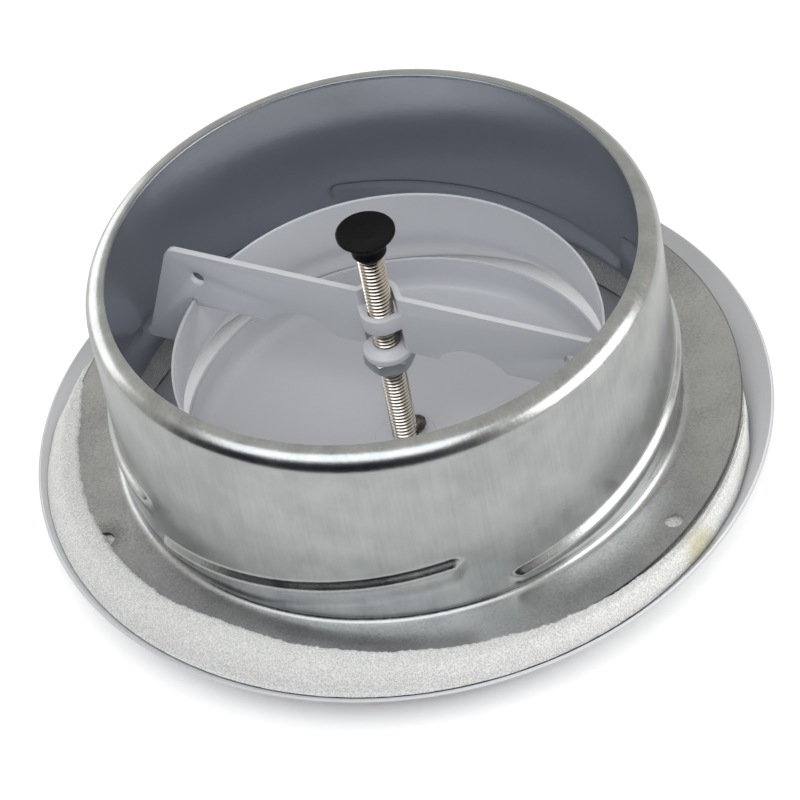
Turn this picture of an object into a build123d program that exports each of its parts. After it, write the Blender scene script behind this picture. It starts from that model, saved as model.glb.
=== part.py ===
from build123d import *
import math
import os

# Ventilation disc valve for a 125 mm duct, lying on its room side with the duct side up.
# Millimetres. +Z is the valve's axis towards the duct, z = 0 is the room-side crest it lies on.

# Heights along the axis
ceiling_height = 14.0          # duct side of the collar's flange, which bears on the ceiling
collar_height = 49.0           # flange to the collar's lip
spigot_edge_above_ceiling = 22.9
disc_edge_above_ceiling = 2.8  # where the disc stands, partly open
ring_above_ceiling = 20.1      # underside of the round nut that is welded to the crossbar
cap_above_ceiling = 49.5       # lower end of the cap's neck

# Mounting collar, drawn from galvanised sheet
collar_radius = 62.2
collar_sheet = 0.7
lip_radius = 4.0
flange_width = 14.2            # wall's outside to the flange's edge
flange_corner = 2.5
hole_count = 3
hole_radius = 2.1
hole_inset = 4.0               # hole's middle to the flange's edge
first_hole_angle = -43.0

# Ramps of the bayonet, pressed outwards in the collar's wall
ramp_depth = 1.7               # inside the wall
ramp_half_width = 2.0
ramp_rise = 5.6                # over the turn that seats the valve
ramp_start_above_ceiling = 3.8
lug_turn = 40.0                # turn from the ramp's start to the seated place
long_ramp_turn = 63.0
long_ramp_level = 33.0
short_ramp_turn = 65.0
short_ramp_start = -151.0
ramp_zone_spread = 0.15        # the press leaves the wall this much wider round the ramps
ramp_zone_margin = 0.4         # above the highest ramp
ramp_zone_shoulder = 1.5       # height over which the wall narrows to the duct's size

# Valve body, spun from painted sheet
body_sheet = 0.8
spigot_gap = 13.4              # collar's bore to the spigot, where the lugs turn
flare_radius = 12.0
spigot_foot_above_ceiling = 12.7  # where the spigot starts to flare
crest_radius = 9.0
rim_drop = 2.3                 # rim's edge below the ceiling

# Foam gasket
gasket_lip_width = 4.2         # shows beyond the flange's edge
gasket_cone_width = 1.8        # lies on the body's cone inside the crest
gasket_rim_gap = 1.7           # to the inside of the rim
gasket_proud = 1.6
gasket_lip_gap = 0.4
gasket_seat_gap = 0.3

# Crossbar, stamped from painted strip and set on edge through the axis
bar_angle = 147.0
bar_sheet = 1.5
bar_top_above_ceiling = 37.2
bar_under_above_ceiling = 21.4
lug_under_above_ceiling = 8.0
lug_top_beyond_spigot = 4.3
lug_corner = 3.0
nose_in_ramp = 0.8             # how far the nose reaches into the ramp's groove
nose_half_height = 1.4
bar_hole_radius = 1.8
bar_hole_inside_spigot = 2.4
bar_hole_above_ceiling = 30.0
scallop_offset = 21.0
scallop_half_chord = 8.4
scallop_rise = 4.4
hoop_half_length = 6.6         # the bends of the three pressed bands lie this far from the axis
hoop_low_above_ceiling = 28.8
hoop_high_above_ceiling = 32.8

# Threaded rod M6 and what is on it
rod_radius = 2.95
thread_clearance = 0.05
rod_top_above_cap = 4.6
ring_radius = 5.6
ring_edge = 1.6
ring_dome = 1.4
lock_nut_flats = 10.0
lock_nut_height = 3.2
hoop_clearance = 0.35
weld_gap = 0.02                # between the ring nut and the crossbar it is welded to
weld_bead_radius = 2.0
weld_bead_angle = 15.0

# End cap, moulded plastic
cap_radius = 6.55
cap_edge = 1.0
cap_dish = 0.5
cap_neck_radius = 3.85
cap_neck_length = 3.3
cap_cone_height = 2.1

# Valve disc, pressed from painted sheet
disc_overlap = 0.9             # disc's outside beyond the spigot's inside
disc_sheet = 0.8
disc_depth = 9.3               # edge to the room face beside the corner
disc_corner = 4.5
disc_dome = 1.2
disc_pad_radius = 6.8
disc_pad_slope = 0.8
disc_pad_rise = 0.5

running_gap = 0.3              # between parts that turn past each other
slot_clearance = 0.25

# Places that follow from the driving sizes
lip_height = ceiling_height + collar_height
spigot_height = ceiling_height + spigot_edge_above_ceiling
disc_edge_height = ceiling_height + disc_edge_above_ceiling
ring_height = ceiling_height + ring_above_ceiling
cap_height = ceiling_height + cap_above_ceiling
bore_radius = rod_radius + thread_clearance
collar_bore = collar_radius - collar_sheet
spigot_radius = collar_bore - spigot_gap
flange_radius = collar_radius + flange_width
hole_circle_radius = flange_radius - hole_inset
ramp_rise_per_degree = ramp_rise / lug_turn
longest_rise = ramp_rise_per_degree * max(long_ramp_turn, short_ramp_turn)
ramp_top = ceiling_height + ramp_start_above_ceiling + longest_rise + ramp_half_width + collar_sheet
ramp_zone_top = ramp_top + ramp_zone_margin
nose_reach = collar_bore + nose_in_ramp
lug_top_half_length = spigot_radius + lug_top_beyond_spigot
bar_hole_offset = spigot_radius - bar_hole_inside_spigot
gasket_outer_radius = flange_radius + gasket_lip_width
rim_radius = gasket_outer_radius + gasket_rim_gap + body_sheet
disc_radius = spigot_radius - body_sheet + disc_overlap
flange_underside = ceiling_height - collar_sheet
ramp_centre_radius = collar_bore + ramp_depth - ramp_half_width
spigot_foot_height = ceiling_height + spigot_foot_above_ceiling
crest_centre_radius = rim_radius - crest_radius


def revolved(face):
    """Turn a face drawn as (radius, height) about the valve's axis."""
    return revolve(Plane.XZ * face, Axis.Z)


def sheet_section(edges, thickness, side):
    """Section of sheet metal: one skin as drawn, the other one sheet thickness to a side."""
    return Face(Wire(edges).offset_2d(thickness, side=side))


def save(shape, name, colour):
    shape.label = name
    shape.color = Color(*colour)
    export_step(shape, f"parts/{name}.step")
    print(name, "solids", len(shape.solids()), "volume", round(shape.volume))


def ramp_path(start_angle, turn):
    """Helical centre line of a bayonet ramp, rising anticlockwise seen from the duct."""
    pitch = ramp_rise_per_degree * 360
    rise = ramp_rise_per_degree * turn
    helix = Helix(pitch, rise, ramp_centre_radius)
    lift = ceiling_height + ramp_start_above_ceiling
    return Pos(0, 0, lift) * Rot(0, 0, start_angle) * helix


def ramp_tube(start_angle, turn, level_turn, radius):
    """Round tube along one ramp and its level end, closed with balls."""
    path = ramp_path(start_angle, turn)
    section = Plane(path @ 0, z_dir=path % 0) * Circle(radius)
    tube = sweep(section, path, is_frenet=True)
    tube += Pos(path @ 0) * Sphere(radius)
    end = path @ 1
    tube += Pos(end) * Sphere(radius)
    if level_turn:
        ring = Rot(0, 0, start_angle + turn) * revolve(
            Plane.XZ * (Pos(ramp_centre_radius, end.Z) * Circle(radius)), Axis.Z, level_turn
        )
        tube += ring
        tube += Rot(0, 0, level_turn) * (Pos(end) * Sphere(radius))
    return tube


def collar_skin(inset):
    """Flange corner, ramp zone, wall and curled lip of the collar, as one skin or one sheet inside it."""
    zone_radius = collar_radius + ramp_zone_spread
    start = (zone_radius + flange_corner, ceiling_height - inset)
    corner = JernArc(start, (-1, 0), flange_corner + inset, -90)
    zone = Line(corner @ 1, (zone_radius - inset, ramp_zone_top))
    shoulder = Line(zone @ 1, (collar_radius - inset, ramp_zone_top + ramp_zone_shoulder))
    wall = Line(shoulder @ 1, (collar_radius - inset, lip_height - lip_radius))
    lip = JernArc(wall @ 1, wall % 1, lip_radius - inset, 85)
    return [corner, zone, shoulder, wall, lip]


def with_ramps(blank, radius):
    """The turned blank with the four bayonet ramps standing out of its wall."""
    for side in (0, 180):
        long_start = bar_angle - lug_turn + side
        blank += ramp_tube(long_start, long_ramp_turn, long_ramp_level, radius)
        blank += ramp_tube(short_ramp_start + side, short_ramp_turn, 0, radius)
    return blank


def make_collar():
    """Drawn collar: flat flange, rounded corner, wall with pressed ramps, and a curled lip."""
    outer = collar_skin(0)
    inner = collar_skin(collar_sheet)
    lip_outer = outer[-1] @ 1
    lip_inner = inner[-1] @ 1
    flange_edge = Polyline(
        (0, lip_inner.Y),
        (0, flange_underside),
        (flange_radius, flange_underside),
        (flange_radius, ceiling_height),
        outer[0] @ 0,
    )
    mouth_edge = Polyline(lip_outer, lip_inner, (0, lip_inner.Y))
    corner_radius = (inner[0] @ 0).X
    hollow_foot = Polyline((0, 0), (corner_radius, 0), inner[0] @ 0)
    hollow_mouth = Polyline(lip_inner, (lip_inner.X, 2 * lip_height), (0, 2 * lip_height), (0, 0))
    # The seam of the turned wall lies between two ramps
    seam = Rot(0, 0, (bar_angle - lug_turn + short_ramp_start + 180 + short_ramp_turn) / 2)
    blank = seam * revolved(make_face([flange_edge, *outer, mouth_edge]))
    hollow = seam * revolved(make_face([hollow_foot, *inner, hollow_mouth]))
    collar = with_ramps(blank, ramp_half_width + collar_sheet) - with_ramps(hollow, ramp_half_width)
    for i in range(hole_count):
        turn = Rot(0, 0, first_hole_angle + i * 360 / hole_count)
        collar -= turn * Pos(hole_circle_radius, 0, ceiling_height) * Cylinder(hole_radius, 4 * collar_sheet)
    return collar


def cone_angle():
    """Turn of the flare that leaves the cone tangent to both the flare and the crest."""
    run = crest_centre_radius - (spigot_radius + flare_radius)
    fall = spigot_foot_height - crest_radius
    between = math.hypot(run, fall)
    radius_change = crest_radius - body_sheet - flare_radius
    return math.acos(radius_change / between) - math.atan2(fall, run)


def crest_point(radius, angle):
    """Point at a radius from the crest's centre, its angle measured down from the inside."""
    return (
        crest_centre_radius - radius * math.cos(angle),
        crest_radius - radius * math.sin(angle),
    )


def make_body():
    """Spun ring: spigot, flare, cone, room-side crest and upturned rim."""
    inner_crest = crest_radius - body_sheet
    turn = cone_angle()
    spigot = Line((spigot_radius, spigot_height), (spigot_radius, spigot_foot_height))
    flare = JernArc(spigot @ 1, spigot % 1, flare_radius, math.degrees(turn))
    cone = Line(flare @ 1, crest_point(inner_crest, turn))
    crest = JernArc(cone @ 1, cone % 1, inner_crest, 180 - math.degrees(turn))
    rim = Line(crest @ 1, (crest_centre_radius + inner_crest, ceiling_height - rim_drop))
    return revolved(sheet_section([spigot, flare, cone, crest, rim], body_sheet, Side.RIGHT))


def make_gasket():
    """Foam ring between the flange and the body, standing proud round the flange's edge."""
    seat = crest_radius - body_sheet - gasket_seat_gap
    turn = cone_angle()
    lip_inner = flange_radius + gasket_lip_gap
    crown_middle = ((lip_inner + gasket_outer_radius) / 2, ceiling_height + gasket_proud)
    top_edge = (lip_inner, flange_underside)
    lip_foot = (lip_inner, ceiling_height)
    lip_end = (gasket_outer_radius, ceiling_height - rim_drop)
    outer_angle = math.acos((crest_centre_radius - gasket_outer_radius) / seat)
    outer_foot = crest_point(seat, outer_angle)
    cone_end = crest_point(seat, turn)
    gasket_inner_radius = cone_end[0] - gasket_cone_width
    inner_foot = (gasket_inner_radius, cone_end[1] + gasket_cone_width / math.tan(turn))
    top_inner = (gasket_inner_radius, flange_underside)
    outline = [
        Line(top_inner, top_edge),
        Line(top_edge, lip_foot),
        ThreePointArc(lip_foot, crown_middle, lip_end),
        Line(lip_end, outer_foot),
        ThreePointArc(outer_foot, crest_point(seat, (turn + outer_angle) / 2), cone_end),
        Line(cone_end, inner_foot),
        Line(inner_foot, top_inner),
    ]
    return revolved(Face(Wire(outline)))


def scallop(left_x, under):
    """Cut-out in the bar's underside: sharp at its left end, eased at its right end."""
    radius = (scallop_half_chord**2 + scallop_rise**2) / (2 * scallop_rise)
    centre_x = left_x + scallop_half_chord
    disc = Pos(centre_x, under + scallop_rise - radius) * Circle(radius)
    window = Pos(centre_x, under + scallop_rise / 2) * Rectangle(2 * scallop_half_chord, scallop_rise)
    ease_end = centre_x + scallop_half_chord
    ease = Polygon(
        (ease_end - scallop_rise / 2, under + 0.3 * scallop_rise),
        (ease_end + scallop_rise / 2, under),
        (ease_end - scallop_rise / 2, under - 0.2),
        align=None,
    )
    return disc & (window + Pos(0, -0.1) * window) + ease


def make_crossbar():
    """Stamped strip on edge: two lugs with noses, two scallops and three pressed hoops."""
    top = ceiling_height + bar_top_above_ceiling
    under = ceiling_height + bar_under_above_ceiling
    lug_under = ceiling_height + lug_under_above_ceiling
    nose_height = ceiling_height + ramp_start_above_ceiling + ramp_rise_per_degree * lug_turn
    nose_root = collar_bore - running_gap
    nose_top = nose_height + nose_half_height
    slot_outer = spigot_radius + slot_clearance
    slot_inner = spigot_radius - body_sheet - slot_clearance
    # The lug's inner corner keeps off the flare below the spigot
    flare_drop = flare_radius - math.sqrt(flare_radius**2 - (spigot_foot_height - lug_under) ** 2)
    half = [
        (0, top),
        (lug_top_half_length, top),
        (nose_root, nose_top + 0.4),
        (nose_reach, nose_top - 0.6),
        (nose_reach, lug_under + 0.8),
        (nose_reach - 0.8, lug_under),
        (slot_outer + flare_drop, lug_under),
        (slot_outer, spigot_foot_height),
        (slot_outer, spigot_height + slot_clearance),
        (slot_inner, spigot_height + slot_clearance),
        (slot_inner, under),
        (0, under),
    ]
    plate = make_face(Polyline(*half, close=True))
    corner = plate.vertices().filter_by_position(Axis.X, lug_top_half_length - 0.1, lug_top_half_length + 0.1)
    plate = fillet(corner.filter_by_position(Axis.Y, top - 0.1, top + 0.1), lug_corner)
    plate += mirror(plate, Plane.YZ)
    for side in (-1, 1):
        plate -= Pos(side * bar_hole_offset, ceiling_height + bar_hole_above_ceiling) * Circle(bar_hole_radius)
    plate -= scallop(-scallop_offset - scallop_half_chord, under)
    plate -= scallop(scallop_offset - scallop_half_chord, under)
    strip = extrude(Plane.XZ * plate, bar_sheet / 2, both=True)
    # The middle is slit in three bands, pressed to the back, the front and the back of the rod
    opening = Pos(0, 0, (top + under) / 2) * Box(2 * hoop_half_length, 4 * bar_sheet, top - under + 2)
    strip -= opening
    bands = [
        (under, ceiling_height + hoop_low_above_ceiling, 1),
        (ceiling_height + hoop_low_above_ceiling, ceiling_height + hoop_high_above_ceiling, -1),
        (ceiling_height + hoop_high_above_ceiling, top, 1),
    ]
    for low, high, direction in bands:
        strip += Pos(0, 0, low) * extrude(hoop_plan(direction), high - low)
    strip -= Pos(0, 0, weld_gap) * revolved(ring_section(ring_radius + weld_gap))
    strip -= Pos(0, 0, ring_height) * Cylinder(ring_radius + weld_gap, 2 * ring_edge)
    return Rot(0, 0, bar_angle - 180) * strip


def hoop_plan(direction):
    """Plan of one pressed band: sloping legs and an arc round the rod."""
    middle = rod_radius + hoop_clearance + bar_sheet / 2
    lean = math.acos(middle / hoop_half_length)
    touch_x = middle * math.cos(lean)
    touch_y = direction * middle * math.sin(lean)
    left = Line((-hoop_half_length, 0), (-touch_x, touch_y))
    arc = ThreePointArc((-touch_x, touch_y), (0, direction * middle), (touch_x, touch_y))
    right = Line((touch_x, touch_y), (hoop_half_length, 0))
    band = trace(Wire([left, arc, right]), bar_sheet)
    for side in (-1, 1):
        band += Pos(side * hoop_half_length, 0) * Circle(bar_sheet / 2)
    return band


def ring_section(outer):
    """Section of the round nut under the crossbar, domed up towards the rod."""
    return make_face(
        Polyline(
            (bore_radius, ring_height),
            (outer, ring_height),
            (outer, ring_height + ring_edge),
            (bore_radius + 0.6, ring_height + ring_edge + ring_dome),
            (bore_radius, ring_height + ring_edge + ring_dome),
            close=True,
        )
    )


def make_ring():
    return revolved(ring_section(ring_radius))


def make_lock_nut():
    """Thin hexagon nut with both faces chamfered, tight under the round nut."""
    corner_radius = lock_nut_flats / math.sqrt(3)
    blank = extrude(RegularPolygon(corner_radius, 6), lock_nut_height)
    flats_radius = lock_nut_flats / 2
    chamfer = (corner_radius - flats_radius) * math.tan(math.radians(30))
    turned = make_face(
        Polyline(
            (bore_radius, 0),
            (flats_radius, 0),
            (corner_radius, chamfer),
            (corner_radius, lock_nut_height - chamfer),
            (flats_radius, lock_nut_height),
            (bore_radius, lock_nut_height),
            close=True,
        )
    )
    return Pos(0, 0, ring_height - lock_nut_height) * (blank & revolved(turned))


def make_rod():
    """Threaded rod from the disc's pad to inside the cap, with its weld bead at the foot."""
    foot = (disc_skin()[-1] @ 1).Y + disc_sheet
    rod_top = cap_height + rod_top_above_cap
    rod = Pos(0, 0, foot) * Cylinder(rod_radius, rod_top - foot, align=(Align.CENTER, Align.CENTER, Align.MIN))
    bead_place = Rot(0, 0, weld_bead_angle) * Pos(rod_radius, 0, foot + weld_bead_radius)
    rod += bead_place * Sphere(weld_bead_radius)
    return rod


def make_cap():
    """Moulded mushroom cap with a dished top, a coned underside and a neck over the rod's end."""
    rod_top = cap_height + rod_top_above_cap
    neck_top = cap_height + cap_neck_length
    head_edge = neck_top + cap_cone_height
    top = head_edge + cap_edge
    face = make_face(
        Polyline(
            (rod_radius, cap_height),
            (cap_neck_radius - 0.3, cap_height),
            (cap_neck_radius, cap_height + 0.3),
            (cap_neck_radius, neck_top),
            (cap_radius - 0.6, head_edge - 0.6),
            (cap_radius, head_edge),
            (cap_radius, top - 0.4),
            (cap_radius - 0.4, top),
            (cap_radius - 1.2, top),
            (0, top - cap_dish),
            (0, rod_top),
            (rod_radius, rod_top),
            close=True,
        )
    )
    return revolved(face)


def disc_skin():
    """Room-side skin of the disc, from its edge to the middle of the raised pad."""
    slope = 2 * math.atan(disc_dome / (disc_radius - disc_corner))
    corner_top = disc_edge_height - disc_depth + disc_corner
    wall = Line((disc_radius, disc_edge_height), (disc_radius, corner_top))
    corner = JernArc(wall @ 1, wall % 1, disc_corner, math.degrees(slope) - 90)
    floor_radius = (corner @ 1).X / math.sin(slope)
    pad_angle = math.asin(disc_pad_radius / floor_radius)
    floor = JernArc(corner @ 1, corner % 1, floor_radius, math.degrees(pad_angle - slope))
    pad_height = (floor @ 1).Y + disc_pad_rise
    rise = Line(floor @ 1, (disc_pad_radius - disc_pad_slope, pad_height))
    flat = Line(rise @ 1, (0, pad_height))
    return [wall, corner, floor, rise, flat]


def make_disc():
    """Pressed dish with an upright wall, a floor slightly domed to the room and a raised pad."""
    return revolved(sheet_section(disc_skin(), disc_sheet, Side.RIGHT))


PAINT = (0.82, 0.84, 0.86)
GALVANISED = (0.62, 0.65, 0.66)

if __name__ == "__main__":
    os.makedirs("parts", exist_ok=True)
    save(make_collar(), "mounting_collar", GALVANISED)
    save(make_body(), "valve_body", PAINT)
    save(make_gasket(), "foam_gasket", (0.85, 0.85, 0.82))
    save(make_crossbar(), "crossbar", PAINT)
    save(make_ring(), "ring_nut", PAINT)
    save(make_lock_nut(), "lock_nut", (0.6, 0.62, 0.64))
    save(make_rod(), "threaded_rod", (0.75, 0.73, 0.7))
    save(make_cap(), "end_cap", (0.05, 0.05, 0.055))
    save(make_disc(), "valve_disc", PAINT)
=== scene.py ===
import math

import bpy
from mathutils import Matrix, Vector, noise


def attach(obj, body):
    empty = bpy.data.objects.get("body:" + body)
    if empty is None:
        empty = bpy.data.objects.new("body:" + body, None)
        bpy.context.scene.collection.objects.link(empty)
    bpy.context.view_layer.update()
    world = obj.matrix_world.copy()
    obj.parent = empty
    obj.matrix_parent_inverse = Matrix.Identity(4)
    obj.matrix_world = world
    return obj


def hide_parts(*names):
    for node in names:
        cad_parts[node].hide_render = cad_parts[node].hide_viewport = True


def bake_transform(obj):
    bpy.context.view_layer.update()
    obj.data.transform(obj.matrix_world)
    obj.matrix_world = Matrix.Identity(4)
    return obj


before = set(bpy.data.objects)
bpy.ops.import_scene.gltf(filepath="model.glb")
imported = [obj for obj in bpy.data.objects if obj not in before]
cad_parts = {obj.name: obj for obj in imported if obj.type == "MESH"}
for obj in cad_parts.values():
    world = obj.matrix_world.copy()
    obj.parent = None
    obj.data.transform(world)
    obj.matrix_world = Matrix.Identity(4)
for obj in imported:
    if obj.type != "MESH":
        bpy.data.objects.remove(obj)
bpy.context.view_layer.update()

# %% [markdown]
# # A ventilation disc valve
# The valve closes or opens the end of a 125 mm ventilation duct. A galvanised collar is fixed in the
# duct, and a white painted body with a foam gasket is turned into it like a bayonet. A dish on a
# threaded rod is screwed nearer to the body or away from it to set how much air passes.
# The CAD frame gives every place and size; here the same pieces get their soft presses, rounded
# edges, real thread and finishes.

MM = 0.001


def heading(azimuth):
    """The level direction at an azimuth in degrees from +X."""
    turn = math.radians(azimuth)
    return Vector((math.cos(turn), math.sin(turn), 0.0))


def at(azimuth, radius, height):
    """A place in metres, from an azimuth in degrees and a radius and height in millimetres."""
    return (heading(azimuth) * radius + Vector((0, 0, height))) * MM


# %% [markdown]
# ## The camera
# The photograph was taken from far away with a long lens, looking down at 44 degrees, and the camera
# was turned 11 degrees about its own axis, which makes the valve lean. The three turns are written
# one after the other, as they would be made on a tripod.

# %% Camera
view_elevation = math.radians(43.97)
view_roll = math.radians(11.32)
view_distance = 1.0013
aim = Vector((0.00025, 0.0, 0.0183))

tilt = Matrix.Rotation(math.pi / 2 - view_elevation, 4, "X")
roll = Matrix.Rotation(-view_roll, 4, "Z")
back_off = Matrix.Translation((0, 0, view_distance))
bpy.ops.object.camera_add()
camera = bpy.context.object
camera.name = "camera"
camera.matrix_world = Matrix.Translation(aim) @ tilt @ back_off @ roll
camera.data.sensor_width = 36
camera.data.lens = 202.5
camera.data.clip_end = 20
bpy.context.scene.camera = camera
print("camera at", [round(v, 3) for v in camera.matrix_world.translation])

# %% [markdown]
# ## Turning a section
# Nearly every piece is round, so it is made as a lathe makes it: a section drawn as (radius, height)
# in millimetres is spun about the valve's axis. A ring of vertices is put on the section's points and
# Blender's Spin turns it round.

# %% Sections and the spin
def rounded(corners, closed=True, steps=6):
    """Points of an outline whose corners are (radius, height, rounding), in millimetres."""
    points = []
    for i, (x, z, rounding) in enumerate(corners):
        here = Vector((x, z))
        if rounding == 0 or (not closed and i in (0, len(corners) - 1)):
            points.append(here)
            continue
        before = Vector(corners[i - 1][:2]) - here
        after = Vector(corners[(i + 1) % len(corners)][:2]) - here
        half = before.angle(after) / 2
        setback = rounding / math.tan(half)
        middle = (before.normalized() + after.normalized()).normalized()
        centre = here + middle * (rounding / math.sin(half))
        first = here + before.normalized() * setback - centre
        last = here + after.normalized() * setback - centre
        turn = -first.angle_signed(last)
        for k in range(steps + 1):
            spoke = first.copy()
            spoke.rotate(Matrix.Rotation(turn * k / steps, 2))
            points.append(centre + spoke)
    return points


def arc(centre, radius, start, end, steps):
    """Points of an arc in a section, its angles in degrees from +radius towards +height."""
    angles = [math.radians(start + (end - start) * k / steps) for k in range(steps + 1)]
    return [Vector((centre[0] + radius * math.cos(a), centre[1] + radius * math.sin(a))) for a in angles]


def divided(points, spacing):
    """The same outline with extra points, so that no step is longer than the spacing."""
    result = [points[0]]
    for here, there in zip(points, points[1:]):
        count = max(1, math.ceil((there - here).length / spacing))
        result += [here.lerp(there, k / count) for k in range(1, count + 1)]
    return result


# A cut edge bulges by a share of the sheet's thickness, so a skin ends about 0.2 mm before its edge
cut_bulge = 0.3
edge_bow = 0.2


def sheet_outline(skin, thickness):
    """Closed section of a sheet to the left of its skin, or to the right if thickness is negative."""
    normals = []
    for i in range(len(skin)):
        along = skin[min(i + 1, len(skin) - 1)] - skin[max(i - 1, 0)]
        normals.append(Vector((-along.y, along.x)).normalized())
    other = [p + n * thickness for p, n in zip(skin, normals)]
    outline = []
    for i, outward in ((0, -1), (-1, 1)):
        edge = normals[i].copy()
        away = Vector((edge.y, -edge.x)) * outward * cut_bulge * thickness
        middle = (skin[i] + other[i]) / 2
        half = edge * thickness / 2
        turns = [math.radians(a) for a in (-60, -30, 0, 30, 60)]
        bow = [middle + half * math.sin(a) + away * math.cos(a) for a in turns]
        outline.append(bow)
    return skin + outline[1] + other[::-1] + outline[0][::-1]


def spun(name, outline, steps, closed=True):
    """Spin an outline about the axis and return the piece, with its faces pointing outwards."""
    bpy.ops.object.select_all(action="DESELECT")
    bpy.ops.mesh.primitive_circle_add(vertices=len(outline), radius=0.01)
    piece = bpy.context.object
    piece.name = name
    for vertex, point in zip(piece.data.vertices, outline):
        vertex.co = (point[0] * MM, 0, point[1] * MM)
    if not closed:
        last = len(outline) - 1
        bpy.ops.object.mode_set(mode="EDIT")
        bpy.ops.mesh.select_all(action="DESELECT")
        bpy.ops.object.mode_set(mode="OBJECT")
        for edge in piece.data.edges:
            edge.select = set(edge.vertices) == {0, last}
        bpy.ops.object.mode_set(mode="EDIT")
        bpy.ops.mesh.select_mode(type="EDGE")
        bpy.ops.mesh.delete(type="EDGE")
        bpy.ops.object.mode_set(mode="OBJECT")
    bpy.ops.object.mode_set(mode="EDIT")
    bpy.ops.mesh.select_mode(type="VERT")
    bpy.ops.mesh.select_all(action="SELECT")
    bpy.ops.mesh.spin(steps=steps, angle=2 * math.pi, center=(0, 0, 0), axis=(0, 0, 1))
    bpy.ops.mesh.select_all(action="SELECT")
    bpy.ops.mesh.remove_doubles(threshold=0.5e-6)
    bpy.ops.mesh.normals_make_consistent(inside=False)
    bpy.ops.object.mode_set(mode="OBJECT")
    return piece


def smooth(piece, angle=35):
    """Shade a piece smooth except across edges sharper than the angle."""
    bpy.ops.object.select_all(action="DESELECT")
    piece.select_set(True)
    bpy.context.view_layer.objects.active = piece
    bpy.ops.object.shade_smooth_by_angle(angle=math.radians(angle))
    print(piece.name, "faces", len(piece.data.polygons))
    return piece


# %% [markdown]
# ## Colours and nodes
# Colours are written as the sRGB hex values of a paint chart. Blender's shaders count in linear
# light, so one function turns them. One more function adds a node with its settings and links. The
# scale of a pattern is the number of its cells in a metre, so it is worked out from a cell's size.

# %% Colour and node helpers
def linear(hex_colour):
    """Linear RGBA of an sRGB hex colour such as #aabbcc."""
    values = [int(hex_colour[i : i + 2], 16) / 255 for i in (1, 3, 5)]
    return [v / 12.92 if v <= 0.04045 else ((v + 0.055) / 1.055) ** 2.4 for v in values] + [1.0]


def add(tree, kind, inputs=None, **settings):
    """Add a node; an input given as a socket is linked, any other is set."""
    node = tree.nodes.new(kind)
    for key, value in settings.items():
        setattr(node, key, value)
    for key, value in (inputs or {}).items():
        if isinstance(value, bpy.types.NodeSocket):
            tree.links.new(value, node.inputs[key])
        else:
            node.inputs[key].default_value = value
    return node


def cells_of(size):
    """The scale of a pattern whose cells are this many millimetres wide."""
    return 1 / (size * MM)


def new_material(name):
    """A material with a Principled shader, and its node tree, shader and object coordinates."""
    material = bpy.data.materials.new(name)
    material.use_nodes = True
    tree = material.node_tree
    shader = tree.nodes["Principled BSDF"]
    place = add(tree, "ShaderNodeTexCoord").outputs["Object"]
    return material, tree, shader, place


def finish_with(piece, material):
    """Give a piece its finish."""
    piece.data.materials.clear()
    piece.data.materials.append(material)


# %% [markdown]
# ## Galvanised steel
# The collar is drawn from hot-dip galvanised sheet. The zinc has a faint bloom with patches about
# 7 mm wide, and the drawing tool has left upright lines 0.8 mm apart, which show against the light.
# Both change how rough it is, so reflections break up softly. The real grain of the zinc is too fine
# to show, so it is drawn half a millimetre wide, and gives the coating's dull sparkle. The flange
# wasn't drawn, so its zinc is duller, with stains about 22 mm wide, and it is darker round the left
# screw hole. Its outer edge is painted dark, a painted shade for the gap beside the rim. The collar's
# inside is painted lighter than its outside, a painted light against the shade within it.

# %% Galvanised finish
# Where the flange's outer edge is painted dark as shade, in millimetres
shaded_edge_from = 76.15
shaded_edge_to = 76.35
# The flange is made darker round this point, beside the left screw hole
dark_patch_place = at(196.5, 71.6, 14.0)
drawn_from = 14.1
drawn_to = 15.6


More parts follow.
